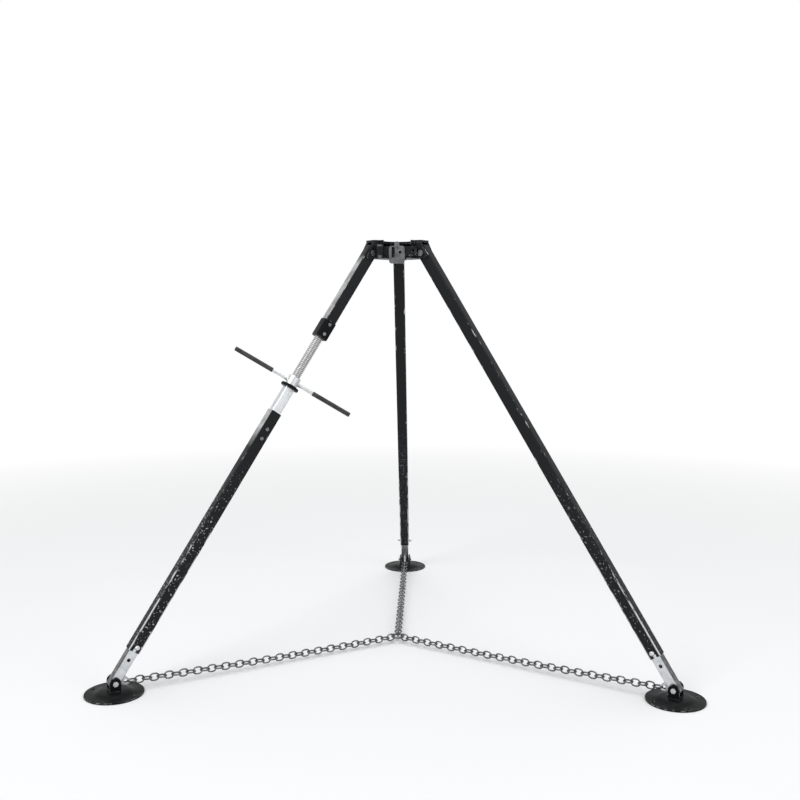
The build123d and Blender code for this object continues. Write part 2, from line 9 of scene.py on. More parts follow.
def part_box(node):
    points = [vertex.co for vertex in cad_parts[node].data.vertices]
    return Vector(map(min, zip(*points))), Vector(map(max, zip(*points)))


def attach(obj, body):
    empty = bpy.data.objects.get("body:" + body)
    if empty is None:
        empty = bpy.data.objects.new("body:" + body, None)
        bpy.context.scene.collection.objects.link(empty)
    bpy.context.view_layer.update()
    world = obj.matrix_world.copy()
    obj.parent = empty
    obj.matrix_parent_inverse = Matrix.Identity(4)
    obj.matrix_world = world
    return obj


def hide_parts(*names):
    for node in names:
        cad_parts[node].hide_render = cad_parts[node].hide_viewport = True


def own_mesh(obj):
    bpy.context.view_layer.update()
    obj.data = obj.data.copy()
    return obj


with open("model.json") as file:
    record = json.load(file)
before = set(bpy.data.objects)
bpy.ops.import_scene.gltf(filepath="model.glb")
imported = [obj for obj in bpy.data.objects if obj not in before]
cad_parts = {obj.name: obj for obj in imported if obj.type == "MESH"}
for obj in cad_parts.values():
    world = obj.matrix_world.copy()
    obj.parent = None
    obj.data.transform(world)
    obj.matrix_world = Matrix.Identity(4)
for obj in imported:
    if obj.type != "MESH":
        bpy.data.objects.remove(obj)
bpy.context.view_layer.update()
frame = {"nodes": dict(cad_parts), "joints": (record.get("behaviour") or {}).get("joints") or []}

bl_info = {
    "name": "Fifth wheel stabilizer jack",
    "version": (1, 0, 0),
    "blender": (4, 5, 0),
    "location": "View3D > Sidebar > Jack",
    "description": "Dresses the tripod stand with its finishes, thread, chains and welds",
    "category": "Object",
}

SIDES = ("back", "right", "left")
JOINTS = {joint["name"]: joint for joint in frame["joints"]}
MM = 0.001

# Heights above the ground, in metres, over which a leg's wear and painted light change
CORNER_MARKS_THIN = (0.08, 0.46)  # the worn corners' painted highlight goes from one line to rare flecks
GLINTS_END = (0.46, 0.58)  # the painted glints on the faces come to an end
SHEEN_BOTTOM = (0.62, 0.67)  # the painted sunlit sheen begins
SHEEN_TOP = (1.115, 1.14)  # the painted sunlit sheen ends under the head

# Distances from a leg tube's middle over which its finish changes
TUBE_CORNER = (12.2 * MM, 14.0 * MM)  # a black tube's rounded corners begin
FOOT_FACE = (11.6 * MM, 12.6 * MM)  # a foot section's upper face begins


# Sizes and colours that a user may change

def millimetres(name, text, value, low=0.1, high=2000.0):
    """A length property. It is typed in millimetres and kept in metres."""
    return bpy.props.FloatProperty(
        name=name, description=text, default=value * MM, min=low * MM, max=high * MM,
        precision=5, subtype="DISTANCE", unit="LENGTH",
    )


def linear(text):
    """Turns an sRGB hex colour such as '1A2B3C' into Blender's linear colour."""
    parts = np.array([int(text[i:i + 2], 16) for i in (0, 2, 4)]) / 255.0
    low = parts / 12.92
    high = ((parts + 0.055) / 1.055) ** 2.4
    return (*np.where(parts <= 0.04045, low, high).tolist(), 1.0)


def colour(name, text, value):
    """A colour property, written as an sRGB hex value."""
    return bpy.props.FloatVectorProperty(
        name=name, description=text, default=linear(value), size=4, min=0.0, max=1.0,
        subtype="COLOR",
    )


class StandSizes(bpy.types.PropertyGroup):
    """The sizes of the pieces that are worked out here rather than taken from the CAD."""

    thread_pitch: millimetres("Thread pitch", "Distance between the jack screw's turns", 5.08)
    thread_depth: millimetres("Thread depth", "Height of the thread above its root", 2.4)
    screw_diameter: millimetres("Screw diameter", "Across the crests of the thread", 25.4)
    screw_start: millimetres("Screw start", "From the hinge bolt down to the screw's top", 112.0)
    screw_end: millimetres("Screw end", "From the hinge bolt down to the screw's foot", 416.0)
    chain_wire: millimetres("Chain wire", "Thickness of the wire of a link", 4.5)
    link_width: millimetres("Link width", "Width across a link", 23.0)
    link_pitch: millimetres("Link pitch", "Wanted distance from link to link", 20.0)
    chain_sag: millimetres("Chain sag", "Drop of a chain in the middle of its span", 5.0)
    chain_slack: millimetres("Link slack", "Play between one link and the next", 0.3)
    ring_height: millimetres("Ring height", "Height of the middle ring above the ground", 17.0)
    ring_radius: millimetres("Ring radius", "Of the middle ring, to the middle of its wire", 17.0)
    ring_wire: millimetres("Ring wire", "Thickness of the middle ring's wire", 6.0)
    eye_reach: millimetres("Eye reach", "From the foot tube's middle to the chain's eye", 27.55)
    eye_rise: millimetres("Eye rise", "From the foot bolt up the leg to the chain's eye", 14.0)
    eye_hole: millimetres("Eye hole", "Width of the hole that holds the first link", 12.0)
    bead_radius: millimetres("Weld bead", "Radius of a weld bead", 2.2)
    bead_ripple: millimetres("Weld ripple", "Distance between the ripples of a bead", 2.4)
    weld_inset: millimetres("Weld inset", "From a lug's edge to the end of its weld", 3.0)
    lug_root: millimetres("Lug root", "From the tripod's axis out to the lugs' welds", 67.6)
    lug_face: millimetres("Lug face", "From a leg's upright plane to a lug's outer face", 22.6)
    bracket_face: millimetres("Bracket face", "From that plane to a bracket's outer face", 18.6)
    bracket_weld: millimetres("Bracket weld", "Half the length of a bracket's weld", 13.0)
    eye_root: millimetres("Eye root", "From the foot section's middle to its eye's welds", 13.6)
    eye_face: millimetres("Eye face", "From the middle of an eye's plate to its face", 2.6)
    eye_weld: millimetres("Eye weld", "Half the length of an eye's weld", 10.0)


class StandColours(bpy.types.PropertyGroup):
    """The colours of the finishes."""

    paint: colour("Powder coat", "Satin black powder coat", "202224")
    paint_deep: colour("Deep powder coat", "Blacker coat of the pads and the collar", "121314")
    # The pale colour of worn edges, also laid as a painted highlight on edges and as painted
    # glints
    worn_edge_and_highlight: colour("Worn edge", "Primer and steel that show on rubbed edges", "C4C5C5")
    # Also the pale colour of the painted sunlit sheen on the legs' upper faces
    dust_and_sheen: colour("Dust", "Dry dust that settles on upper faces", "B4B5B4")
    zinc: colour("Zinc", "Bright zinc plate", "DADDDF")
    zinc_cloud: colour("Zinc cloud", "Where the passivation is thicker and greyer", "B4B7B9")
    # Laid darker on the foot sections' upper face
    dark_upper_face: colour("Smear", "Oil and rubbed-off paint on the foot sections' upper face", "3A3B3D")
    dull_zinc: colour("Dull zinc", "Weathered plate of the chains, strap and bolts", "77797B")
    dull_cloud: colour("Dull cloud", "Darker stains in the weathered plate", "3C3E40")
    steel_crest: colour("Thread crest", "Bare steel, polished by the nut", "C2C3C3")
    steel_root: colour("Thread root", "Oil and dirt in the thread's root", "9C9A97")
    vinyl: colour("Vinyl", "Dipped vinyl of the handle's grips", "232325")
    floor: colour("Floor", "Pale studio floor", "E4E5E6")


class StagePlace(bpy.types.PropertyGroup):
    """Where the camera stands, measured from the tripod's upright axis."""

    distance: millimetres("Camera distance", "From the tripod's axis to the camera", 2890, 1, 9000)
    height: millimetres("Camera height", "Of the camera above the ground", 1022)
    focus: millimetres("Focal length", "Of the lens, for a picture 36 mm wide", 45.0)
    turn: bpy.props.FloatProperty(
        name="Camera turn", description="How far round the axis the camera stands",
        default=math.radians(1.91), subtype="ANGLE", unit="ROTATION",
    )
    pan: bpy.props.FloatProperty(
        name="Camera pan", description="How far the camera looks to the left of the axis",
        default=math.radians(-0.13), subtype="ANGLE", unit="ROTATION",
    )
    pitch: bpy.props.FloatProperty(
        name="Camera pitch", description="How far the camera looks down",
        default=math.radians(5.9), subtype="ANGLE", unit="ROTATION",
    )


# Meshes worked out with numpy

def grid_faces(rows, columns, close_rows, close_columns):
    """Four-sided faces over a grid of rows x columns points, closed round where asked.
    Face (i, j) joins points (i, j), (i, j+1), (i+1, j+1) and (i+1, j)."""
    i = np.arange(rows if close_rows else rows - 1)[:, None]
    j = np.arange(columns if close_columns else columns - 1)[None, :]
    down = (i + 1) % rows
    right = (j + 1) % columns
    corners = [i * columns + j, i * columns + right, down * columns + right, down * columns + j]
    return np.stack(np.broadcast_arrays(*corners), axis=-1).reshape(-1, 4)


def make_piece(name, points, faces, smooth=True):
    """A new object at the origin with these points, in metres, and these faces."""
    mesh = bpy.data.meshes.new(name)
    mesh.from_pydata(np.asarray(points, float).tolist(), [], [list(f) for f in faces])
    mesh.polygons.foreach_set("use_smooth", np.full(len(mesh.polygons), smooth))
    mesh.update()
    piece = bpy.data.objects.new(name, mesh)
    bpy.context.scene.collection.objects.link(piece)
    return piece


def revolve(profile, segments):
    """A profile of (radius, height) points turned about Z. Point (i, j) is
    (r_i cos a_j, r_i sin a_j, z_i). The first and last radius are 0, so the shell is closed."""
    profile = np.asarray(profile, float)
    angle = np.linspace(0, 2 * math.pi, segments, endpoint=False)
    ring = profile[1:-1]
    x = ring[:, :1] * np.cos(angle)
    y = ring[:, :1] * np.sin(angle)
    z = np.broadcast_to(ring[:, 1:], x.shape)
    points = np.stack([x, y, z], axis=-1).reshape(-1, 3)
    faces = grid_faces(len(ring), segments, False, True).tolist()
    poles = np.array([[0, 0, profile[0, 1]], [0, 0, profile[-1, 1]]])
    count = len(points)
    here = np.arange(segments)
    after = (here + 1) % segments
    last = count - segments
    faces += np.stack([np.full(segments, count), after, here], axis=-1).tolist()
    faces += np.stack([np.full(segments, count + 1), last + here, last + after], axis=-1).tolist()
    return np.vstack([points, poles]), faces


def carried(path, ups, radii, sides, closed):
    """A round section carried along a path. Point (i, j) is
    p_i + r_i (cos a_j side_i + sin a_j up_i), where side_i is the path's direction x up_i."""
    path = np.asarray(path, float)
    if closed:
        direction = np.roll(path, -1, axis=0) - np.roll(path, 1, axis=0)
    else:
        direction = np.gradient(path, axis=0)
    direction /= np.linalg.norm(direction, axis=1, keepdims=True)
    side = np.cross(direction, ups)
    side /= np.linalg.norm(side, axis=1, keepdims=True)
    up = np.cross(side, direction)
    angle = np.linspace(0, 2 * math.pi, sides, endpoint=False)
    ring = np.cos(angle)[None, :, None] * side[:, None, :]
    ring = ring + np.sin(angle)[None, :, None] * up[:, None, :]
    points = path[:, None, :] + np.asarray(radii)[:, None, None] * ring
    return points.reshape(-1, 3), grid_faces(len(path), sides, closed, True)


# Places on the stand

def leg_frame(side):
    """Matrix from a leg's own frame to the stand: -Z runs down the leg from its hinge bolt,
    Y lies along that bolt and X points out of the leg's upper face."""
    down = np.array(JOINTS[side + "_foot_extension"]["axis"], float)
    along = np.array(JOINTS[side + "_leg_fold"]["axis"], float)
    turn = np.eye(4)
    turn[:3, 0] = np.cross(along, -down)
    turn[:3, 1] = along
    turn[:3, 2] = -down
    turn[:3, 3] = JOINTS[side + "_leg_fold"]["pos_m"]
    return turn


def plan_frame(side):
    """Matrix from a leg's upright plane to the stand: X runs outwards from the tripod's axis
    on the ground, Y lies along the leg's hinge bolt and Z is up."""
    along = np.array(JOINTS[side + "_leg_fold"]["axis"], float)
    turn = np.eye(4)
    turn[:3, 0] = np.cross(along, (0, 0, 1))
    turn[:3, 1] = along
    turn[:3, 3] = tripod_axis()
    return turn


def tripod_axis():
    """The point on the ground under the middle of the three hinge bolts."""
    hinges = [JOINTS[side + "_leg_fold"]["pos_m"] for side in SIDES]
    middle = np.mean(hinges, axis=0)
    return np.array([middle[0], middle[1], 0.0])


def moved(points, turn):
    """Points carried by a 4 x 4 matrix, as one array."""
    return np.asarray(points) @ turn[:3, :3].T + turn[:3, 3]


def foot_place(side):
    """The foot bolt's middle in the leg's upright plane: distance out and height."""
    place = np.array(JOINTS[side + "_pad_swivel"]["pos_m"], float)
    out = (place - tripod_axis()) @ plan_frame(side)[:3, 0]
    return float(out), float(place[2])


# Materials

def add_node(tree, kind, inputs=(), **settings):
    """Adds one node, sets its own settings, and fills or links its inputs, given in order or by
    name or number. A node among them stands for its first output in use. In a Mix node of
    colours, input 6 is the colour underneath and input 7 the one that is laid over it."""
    node = tree.nodes.new(kind)
    for name, value in settings.items():
        setattr(node, name, value)
    for key, value in inputs.items() if isinstance(inputs, dict) else enumerate(inputs):
        if isinstance(value, bpy.types.Node):
            value = next(output for output in value.outputs if output.enabled)
        if isinstance(value, bpy.types.NodeSocket):
            tree.links.new(value, node.inputs[key])
        else:
            node.inputs[key].default_value = value
    return node


def new_finish(name):
    """A material with an empty node tree, and Object coordinates in it."""
    material = bpy.data.materials.new(name)
    material.use_nodes = True
    tree = material.node_tree
    tree.nodes.clear()
    return material, tree, add_node(tree, "ShaderNodeTexCoord").outputs["Object"]


def patches(tree, place, size, thin, thick, least, most, detail=3.0):
    """Blotches about size metres across. Where their noise is under thin they count as least,
    and over thick as most, with a slope between."""
    inputs = {"Vector": place, "Scale": 1 / size, "Detail": detail, "Roughness": 0.55}
    blotches = add_node(tree, "ShaderNodeTexNoise", inputs)
    return add_node(tree, "ShaderNodeMapRange", (blotches, thin, thick, least, most))


def by_height(tree, place, heights, below, above):
    """A value that goes from below to above between two heights over the ground."""
    height = add_node(tree, "ShaderNodeSeparateXYZ", (place,)).outputs[2]
    return add_node(tree, "ShaderNodeMapRange", (height, *heights, below, above))


def worn_and_highlit_edges(tree, place):
    """1 on the sharp outer edges of a piece and 0 on its faces, in flecks: worn paint with a
    painted highlight along the edges. The rounded normal of the Bevel node differs from the true
    one only near an edge."""
    rounded = add_node(tree, "ShaderNodeBevel", {"Radius": 2.2 * MM}, samples=6)
    true = add_node(tree, "ShaderNodeNewGeometry").outputs["Normal"]
    inputs = (rounded, true)
    alike = add_node(tree, "ShaderNodeVectorMath", inputs, operation="DOT_PRODUCT")
    edge = add_node(tree, "ShaderNodeMapRange", (alike, 0.985, 0.90, 0.0, 1.0))
    fleck = patches(tree, place, 7 * MM, 0.46, 0.58, 0.0, 0.8)
    stretch = patches(tree, place, 90 * MM, 0.42, 0.56, 0.1, 0.9, 1.0)
    edge_marks = add_node(tree, "ShaderNodeMath", (edge, fleck), operation="MULTIPLY")
    return add_node(tree, "ShaderNodeMath", (edge_marks, stretch), operation="MULTIPLY")


def along_leg(tree, place, side):
    """A point's place in a leg's own frame."""
    leg = Matrix(leg_frame(side)).inverted()
    inputs = (place, leg.to_translation(), leg.to_euler("XYZ"))
    return add_node(tree, "ShaderNodeMapping", inputs)


def worn_and_highlit_corners(tree, place, side, glint_paleness):
    """1 on the rounded corners of a leg's square tube, where both distances from the tube's
    middle are near half its width, in flecks about 6 mm across and 30 mm long: worn paint with a
    painted highlight along the corner. They run into one line near the foot and grow rare higher
    up. Painted glints about 5 mm across lie on the faces there, and the last argument is how pale
    they are."""
    along = along_leg(tree, place, side)
    size = add_node(tree, "ShaderNodeVectorMath", (along,), operation="ABSOLUTE")
    parts = add_node(tree, "ShaderNodeSeparateXYZ", (size,)).outputs
    least = add_node(tree, "ShaderNodeMath", (parts[0], parts[1]), operation="MINIMUM")
    corner = add_node(tree, "ShaderNodeMapRange", (least, *TUBE_CORNER, 0.0, 1.0))
    drawn = add_node(tree, "ShaderNodeMapping", {0: along, 3: (1, 1, 0.2)})
    inputs = {"Vector": drawn, "Scale": 1 / (6 * MM), "Detail": 3.0, "Roughness": 0.55}
    specks = add_node(tree, "ShaderNodeTexNoise", inputs)
    # The corners' worn paint and painted highlight break up with height
    thinning = by_height(tree, place, CORNER_MARKS_THIN, 0.14, -0.13)
    flecks = add_node(tree, "ShaderNodeMath", (specks, thinning), operation="ADD")
    broken_line = add_node(tree, "ShaderNodeMapRange", (flecks, 0.47, 0.55, 0.0, 1.0))
    line = add_node(tree, "ShaderNodeMath", (corner, broken_line), operation="MULTIPLY")
    # Painted glints: pale spots on the faces near the ground
    glint_spots = patches(tree, place, 5 * MM, 0.64, 0.71, 0.0, glint_paleness, 1.0)
    low = by_height(tree, place, GLINTS_END, 1.0, 0.0)
    glints = add_node(tree, "ShaderNodeMath", (glint_spots, low), operation="MULTIPLY")
    return add_node(tree, "ShaderNodeMath", (line, glints), operation="MAXIMUM")


def painted_sky_sheen(tree, place, most):
    """How much of the pale colour is laid on a point, up to most: a painted sunlit sheen on the
    upper faces of the stand's upper half, in clouds about 30 mm across. It fades out below that
    half and under the head, at the legs' top ends."""
    own = add_node(tree, "ShaderNodeTexCoord").outputs["Normal"]
    upward = add_node(tree, "ShaderNodeSeparateXYZ", (own,)).outputs[2]
    # Pale on upward faces: a painted sunlit sheen
    dust_and_sheen = add_node(tree, "ShaderNodeMapRange", (upward, 0.3, 0.55, 0.0, 1.0))
    limits = (
        patches(tree, place, 30 * MM, 0.35, 0.6, 0.55, 1.0),
        by_height(tree, place, SHEEN_BOTTOM, 0.0, most),
        by_height(tree, place, SHEEN_TOP, 1.0, 0.0),
    )
    for limit in limits:
        dust_and_sheen = add_node(tree, "ShaderNodeMath", (dust_and_sheen, limit), operation="MULTIPLY")
    return dust_and_sheen


def powder_coat(name, colours, black, edge_marks, painted_sheen):
    """Satin black powder coat, sprayed as dry powder and baked: a soft sheen with a fine orange
    peel, a pale painted sunlit sheen on upper faces, and worn edges with a painted highlight.
    The fourth argument is a function that gives the worn and highlit places, and the fifth is
    the most painted sheen laid on it. The real peel is about 1 mm across. It is drawn at 2.5 mm
    so that it shows."""
    material, tree, place = new_finish(name)
    tint = tuple(black)
    if painted_sheen:
        # Painted sunlit sheen on the upper faces
        inputs = {"Factor": painted_sky_sheen(tree, place, painted_sheen), 6: tint, 7: tuple(colours.dust_and_sheen)}
        tint = add_node(tree, "ShaderNodeMix", inputs, data_type="RGBA")
    # Worn edges with their painted highlight
    inputs = {"Factor": edge_marks(tree, place), 6: tint, 7: tuple(colours.worn_edge_and_highlight)}
    tint = add_node(tree, "ShaderNodeMix", inputs, data_type="RGBA")
    rough = patches(tree, place, 45 * MM, 0.35, 0.65, 0.32, 0.45)
    inputs = {"Vector": place, "Scale": 1 / (2.5 * MM), "Detail": 2.0, "Roughness": 0.55}
    peel = add_node(tree, "ShaderNodeTexNoise", inputs)
    rounded = add_node(tree, "ShaderNodeBevel", {"Radius": 0.8 * MM}, samples=4)
    inputs = {"Strength": 0.12, "Distance": 0.25 * MM, "Height": peel, "Normal": rounded}
    bumps = add_node(tree, "ShaderNodeBump", inputs)
    inputs = {"Base Color": tint, "Roughness": rough, "Normal": bumps, "IOR": 1.4,
              "Specular IOR Level": 0.07}
    shader = add_node(tree, "ShaderNodeBsdfPrincipled", inputs)
    add_node(tree, "ShaderNodeOutputMaterial", {"Surface": shader})
    return material


def zinc_plate(name, clean, stain, rough, clouds, dark_upper_face=None):
    """Zinc plate, laid down in a bath over drawn steel and passivated: a cool silver with greyer
    clouds, faint drawing grain and a soft broken gloss. Weather dulls and darkens it. The last
    argument, if there is one, is a colour and a function that gives the places that it covers.
    The grain is drawn at 1.6 mm, coarser than the real one, so that it shows."""
    material, tree, place = new_finish(name)
    inputs = {"Vector": place, "Scale": 1 / clouds, "Detail": 3.0, "Roughness": 0.55}
    cloud = add_node(tree, "ShaderNodeTexNoise", inputs)
    inputs = {"Vector": place, "Scale": 9 / clouds, "Detail": 2.0, "Roughness": 0.55}
    spots = add_node(tree, "ShaderNodeTexNoise", inputs)
    both = add_node(tree, "ShaderNodeMath", (cloud, spots), operation="ADD")
    share = add_node(tree, "ShaderNodeMapRange", (both, 0.8, 1.25, 0.0, 0.9))
    inputs = {"Factor": share, 6: tuple(clean), 7: tuple(stain)}
    tint = add_node(tree, "ShaderNodeMix", inputs, data_type="RGBA")
    if dark_upper_face:
        inputs = {"Factor": dark_upper_face[1](tree, place), 6: tint, 7: tuple(dark_upper_face[0])}
        tint = add_node(tree, "ShaderNodeMix", inputs, data_type="RGBA")
    gloss = add_node(tree, "ShaderNodeMapRange", (both, 0.8, 1.2, rough, rough + 0.16))
    inputs = {"Vector": place, "Scale": 1 / (1.6 * MM), "Detail": 2.0, "Roughness": 0.55}
    grain = add_node(tree, "ShaderNodeTexNoise", inputs)
    rounded = add_node(tree, "ShaderNodeBevel", {"Radius": 0.5 * MM}, samples=4)
    inputs = {"Strength": 0.10, "Distance": 0.12 * MM, "Height": grain, "Normal": rounded}
    bumps = add_node(tree, "ShaderNodeBump", inputs)
    inputs = {"Base Color": tint, "Metallic": 1.0, "Roughness": gloss, "Normal": bumps}
    shader = add_node(tree, "ShaderNodeBsdfPrincipled", inputs)
    add_node(tree, "ShaderNodeOutputMaterial", {"Surface": shader})
    return material


def oiled_steel(colours):
    """Bare rolled steel thread under a film of oil: crests polished bright by the nut, and dark
    oil in the roots. The mesh's 'depth' attribute is 0 on a crest and 1 in a root."""
    material, tree, place = new_finish("oiled_bare_steel")
    depth = add_node(tree, "ShaderNodeAttribute", attribute_name="depth").outputs["Fac"]
    oil = patches(tree, place, 14 * MM, 0.3, 0.7, 0.45, 0.95)
    share = add_node(tree, "ShaderNodeMath", (depth, oil), operation="MULTIPLY")
    inputs = {"Factor": share, 6: tuple(colours.steel_crest), 7: tuple(colours.steel_root)}
    tint = add_node(tree, "ShaderNodeMix", inputs, data_type="RGBA")
    gloss = add_node(tree, "ShaderNodeMapRange", (share, 0.0, 0.8, 0.24, 0.42))
    inputs = {"Base Color": tint, "Metallic": 1.0, "Roughness": gloss}
    shader = add_node(tree, "ShaderNodeBsdfPrincipled", inputs)
    add_node(tree, "ShaderNodeOutputMaterial", {"Surface": shader})
    return material


def dipped_vinyl(colours):
    """Soft vinyl, dipped over the warm bar: a matt skin with a faint slow sag in its surface."""
    material, tree, place = new_finish("dipped_black_vinyl")
    bloom = patches(tree, place, 16 * MM, 0.3, 0.7, 0.0, 0.09)
    inputs = {"Factor": bloom, 6: tuple(colours.vinyl), 7: tuple(colours.dust_and_sheen)}
    tint = add_node(tree, "ShaderNodeMix", inputs, data_type="RGBA")
    rough = patches(tree, place, 16 * MM, 0.3, 0.7, 0.48, 0.62)
    inputs = {"Vector": place, "Scale": 1 / (5 * MM), "Detail": 1.0, "Roughness": 0.55}
    swell = add_node(tree, "ShaderNodeTexNoise", inputs)
    inputs = {"Strength": 0.2, "Distance": 0.3 * MM, "Height": swell}
    sag = add_node(tree, "ShaderNodeBump", inputs)
    inputs = {"Base Color": tint, "Roughness": rough, "Normal": sag, "Specular IOR Level": 0.25}
    shader = add_node(tree, "ShaderNodeBsdfPrincipled", inputs)
    add_node(tree, "ShaderNodeOutputMaterial", {"Surface": shader})
    return material


def pale_floor(colours, middle):
    """Pale studio paper: matt, with a barely seen tooth. Far from the stand it fades, for the
    camera and for reflections, into a plain white surround, and it keeps the stand's shadow."""
    material, tree, place = new_finish("pale_studio_paper")
    inputs = {"Vector": place, "Scale": 1 / (3 * MM), "Detail": 2.0, "Roughness": 0.55}
    tooth = add_node(tree, "ShaderNodeTexNoise", inputs)
    darker = tuple(0.97 * part for part in colours.floor[:3]) + (1.0,)
    inputs = {"Factor": tooth, 6: tuple(colours.floor), 7: darker}
    tint = add_node(tree, "ShaderNodeMix", inputs, data_type="RGBA")
    paper = add_node(tree, "ShaderNodeBsdfPrincipled", {"Base Color": tint, "Roughness": 0.85})
    centred = add_node(tree, "ShaderNodeMapping", (place, tuple(-middle)))
    away = add_node(tree, "ShaderNodeVectorMath", (centred,), operation="LENGTH")
    fade = add_node(tree, "ShaderNodeMapRange", (away, 1.3, 4.0, 0.0, 1.0))
    inputs = (fade, seen_directly(tree))
    share = add_node(tree, "ShaderNodeMath", inputs, operation="MULTIPLY")
    white = add_node(tree, "ShaderNodeEmission", {"Color": (1, 1, 1, 1), "Strength": 1.0})
    blended = add_node(tree, "ShaderNodeMixShader", (share, paper, white))
    add_node(tree, "ShaderNodeOutputMaterial", {"Surface": blended})
    return material


def seen_directly(tree):
    """1 for a ray from the camera, a mirror or glass, and 0 for the light that falls on things."""
    rays = add_node(tree, "ShaderNodeLightPath").outputs
    inputs = (rays["Is Camera Ray"], rays["Is Glossy Ray"])
    either = add_node(tree, "ShaderNodeMath", inputs, operation="MAXIMUM")
    inputs = (either, rays["Is Transmission Ray"])
    return add_node(tree, "ShaderNodeMath", inputs, operation="MAXIMUM")


def tube_coat(name, colours, side):
    """A maker of one leg's powder coat, with worn paint and a painted highlight along its square
    tube's corners. Only the left leg gets the painted sunlit sheen on its upper faces; the back
    leg gets a trace and the right none."""
    # The most painted sunlit sheen on each leg, and how pale its painted glints are
    painted_sheen = {"back": 0.04, "right": 0.0, "left": 0.95}[side]
    glint_paleness = {"back": 0.3, "right": 0.35, "left": 0.75}[side]

    def edge_marks(tree, place):
        return worn_and_highlit_corners(tree, place, side, glint_paleness)
    return lambda: powder_coat(name, colours, colours.paint, edge_marks, painted_sheen)


def foot_plate(name, colours, side):
    """A maker of one foot section's zinc plate, laid darker on its upper face in patches about
    12 mm across."""
    def darkened_places(tree, place):
        parts = add_node(tree, "ShaderNodeSeparateXYZ", (along_leg(tree, place, side),))
        # Darker on the tube's upper face
        upper = add_node(tree, "ShaderNodeMapRange", (parts, *FOOT_FACE, 0.0, 0.95))
        blotches = patches(tree, place, 12 * MM, 0.3, 0.6, 0.75, 1.0)
        return add_node(tree, "ShaderNodeMath", (upper, blotches), operation="MULTIPLY")
    dark_upper_face = (colours.dark_upper_face, darkened_places)
    return lambda: zinc_plate(name, colours.zinc, colours.zinc_cloud, 0.26, 30 * MM, dark_upper_face)


def finish(name):
    """The material of a finish, made when it is first asked for."""
    colours = bpy.context.scene.stand_colours
    # The last number is the most painted sunlit sheen on it
    satin = (colours, colours.paint, worn_and_highlit_edges, 0.12)
    washed = (colours, colours.paint_deep, worn_and_highlit_edges, 0.0)
    bright = (colours.zinc, colours.zinc_cloud, 0.26, 30 * MM)
    dull = (colours.dull_zinc, colours.dull_cloud, 0.36, 14 * MM)
    makers = {
        "satin_black_powder_coat": lambda: powder_coat(name, *satin),
        "washed_black_powder_coat": lambda: powder_coat(name, *washed),
        "bright_zinc_plate": lambda: zinc_plate(name, *bright),
        "weathered_zinc_plate": lambda: zinc_plate(name, *dull),
        "oiled_bare_steel": lambda: oiled_steel(colours),
        "dipped_black_vinyl": lambda: dipped_vinyl(colours),
    }
    for side in SIDES:
        makers[side + "_tube_powder_coat"] = tube_coat(name, colours, side)
        makers[side + "_foot_zinc_plate"] = foot_plate(name, colours, side)
    return bpy.data.materials.get(name) or makers[name]()


def dress(piece, material):
    """Gives a whole piece one finish."""
    piece.data.materials.clear()
    piece.data.materials.append(finish(material))


def smoothing():
    """A node tree that shades a mesh smooth and keeps edges of more than 32 degrees sharp."""
    name = "smooth_by_angle"
    if name in bpy.data.node_groups:
        return bpy.data.node_groups[name]
    tree = bpy.data.node_groups.new(name, "GeometryNodeTree")
    tree.interface.new_socket("Geometry", in_out="INPUT", socket_type="NodeSocketGeometry")
    tree.interface.new_socket("Geometry", in_out="OUTPUT", socket_type="NodeSocketGeometry")
    start = add_node(tree, "NodeGroupInput")
    inputs = {"Geometry": start, "Shade Smooth": True}
    faces = add_node(tree, "GeometryNodeSetShadeSmooth", inputs, domain="FACE")
    angle = add_node(tree, "GeometryNodeInputMeshEdgeAngle")
    inputs = (angle, math.radians(32))
    flat = add_node(tree, "FunctionNodeCompare", inputs, operation="LESS_EQUAL")
    inputs = {"Geometry": faces, "Shade Smooth": flat}
    edges = add_node(tree, "GeometryNodeSetShadeSmooth", inputs, domain="EDGE")
    add_node(tree, "NodeGroupOutput", (edges,))
    return tree


def dress_nodes(names, material):
    """Gives CAD nodes a finish, joins their loose triangles and smooths their round faces."""
    for name in names:
        node = frame["nodes"][name]
        dress(node, material)
        join = node.modifiers.new("join", "WELD")
        join.merge_threshold = 1e-6
        node.modifiers.new("smooth", "NODES").node_group = smoothing()


# Operators

class STAND_OT_head(bpy.types.Operator):
    """Finishes the head, its legs' lugs and bolts, and the throat gate"""

    bl_idname = "stand.head"
    bl_label = "Head and gate"

    def execute(self, context):
        painted = ["head_top_plate", "head_wall", "head_jaw_plate", "gate_lugs", "gate_bar"]
        painted += [side + "_leg_lugs" for side in SIDES]
        dress_nodes(painted, "satin_black_powder_coat")
        plated = ["hinge_bolts", "hinge_nuts", "gate_strap", "gate_bolt", "gate_nut"]
        dress_nodes(plated, "weathered_zinc_plate")
        return {"FINISHED"}


class STAND_OT_legs(bpy.types.Operator):
    """Finishes the square leg tubes, the plated foot sections and their pins"""

    bl_idname = "stand.legs"
    bl_label = "Leg tubes"

    def execute(self, context):
        for side in ("back", "right"):
            dress_nodes([side + "_leg_tube"], side + "_tube_powder_coat")
        dress_nodes(["left_upper_tube", "left_lower_tube"], "left_tube_powder_coat")
        for side in SIDES:
            dress_nodes([side + "_foot_tube"], side + "_foot_zinc_plate")
        dress_nodes([side + "_lock_pin" for side in SIDES], "bright_zinc_plate")
        return {"FINISHED"}


class STAND_OT_feet(bpy.types.Operator):
    """Finishes the swivelling foot pads, their brackets and bolts, and the chain eyes"""

    bl_idname = "stand.feet"
    bl_label = "Foot pads"

    def execute(self, context):
        painted = [side + piece for side in SIDES for piece in ("_foot_pad", "_foot_clevis")]
        dress_nodes(painted, "washed_black_powder_coat")
        pieces = ("_foot_bolt", "_foot_nut", "_chain_eye")
        plated = [side + piece for side in SIDES for piece in pieces]
        dress_nodes(plated, "bright_zinc_plate")
        return {"FINISHED"}


